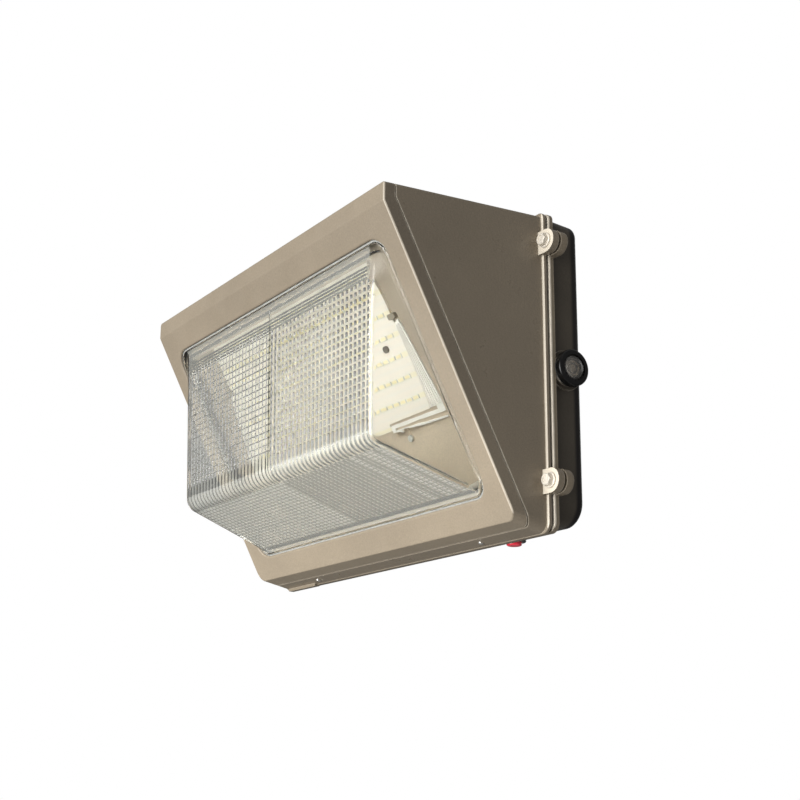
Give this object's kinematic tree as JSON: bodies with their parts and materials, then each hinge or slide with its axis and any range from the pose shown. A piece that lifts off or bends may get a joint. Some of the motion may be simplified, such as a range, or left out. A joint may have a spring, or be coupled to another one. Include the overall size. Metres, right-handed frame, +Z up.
{
  "type": "wall light",
  "caption": "Wedge-shaped outdoor LED wall light: hinged bronze door with prismatic glass refractor, bolted to a shallow back box with photocell and test button.",
  "frame": {"origin": "centre of the wire entry hole in the plane of the wall", "axes": "+Y into the wall, +Z up, +X to the right of a person who faces the light"},
  "size_m": [0.3905, 0.168, 0.2335],
  "materials": {
    "bronze_paint": "textured bronze powder coat on die-cast aluminium",
    "taupe_paint": "satin taupe paint on sheet aluminium",
    "glass": "clear prismatic pressed glass",
    "black_rubber": "matt silicone rubber",
    "steel": "zinc-plated steel",
    "driver_case": "satin",
    "battery_wrap": "shrink wrap",
    "white_plastic": "satin",
    "white_mask": "white solder mask",
    "led_phosphor": "phosphor in clear resin",
    "black_plastic": "gloss",
    "photocell_lens": "smoky tinted",
    "sensor": "satin",
    "red_plastic": "gloss",
    "green_screw": "green plated"
  },
  "bodies": {
    "back_box": {"back_housing": "bronze_paint", "door_gasket": "black_rubber", "hinge_pins": "steel", "led_driver": "driver_case", "driver_screws": "steel", "battery_pack": "battery_wrap", "battery_straps": "steel", "strap_screws": "steel", "terminal_block": "white_plastic", "terminal_screws": "steel", "block_screws": "steel", "earth_screw": "green_screw", "photocell_body": "black_plastic", "photocell_seal": "black_rubber", "photocell_lens": "photocell_lens", "photocell_sensor": "sensor", "photocell_nut": "black_plastic", "conduit_plugs": "bronze_paint", "button_body": "black_plastic", "button_nut": "black_plastic", "button_spring": "steel"},
    "door": {"front_housing": "bronze_paint", "front_frame": "bronze_paint", "frame_screws": "steel", "glass_refractor": "glass", "glass_gasket": "black_rubber", "glass_clips": "steel", "glass_clip_screws": "steel", "led_plate": "taupe_paint", "led_plate_screws": "steel", "led_board": "white_mask", "led_board_screws": "steel", "led_chips": "led_phosphor", "led_side_strips": "white_plastic", "led_strip_screws": "steel", "board_clamps": "taupe_paint"},
    "upper_bolt": {"bolt_upper": "steel", "bolt_washer_upper": "steel"},
    "lower_bolt": {"bolt_lower": "steel", "bolt_washer_lower": "steel"},
    "test_button": {"button_cap": "red_plastic"}
  },
  "joints": [
    {"name": "door_hinge", "type": "hinge", "parent": "back_box", "child": "door", "pos_m": [-0.1885, -0.0315, 0], "axis": [0, 0, -1], "range_deg": [0, 95]},
    {"name": "upper_bolt_slide", "type": "slide", "parent": "door", "child": "upper_bolt", "axis": [0, -1, 0], "range_m": [0, 0.008]},
    {"name": "lower_bolt_slide", "type": "slide", "parent": "door", "child": "lower_bolt", "axis": [0, -1, 0], "range_m": [0, 0.008]},
    {"name": "test_button_press", "type": "slide", "parent": "back_box", "child": "test_button", "axis": [0, 0, 1], "range_m": [0, 0.002], "stiffness_N_per_m": 600, "springref_m": -0.003, "deforming": ["button_spring"]}
  ]
}
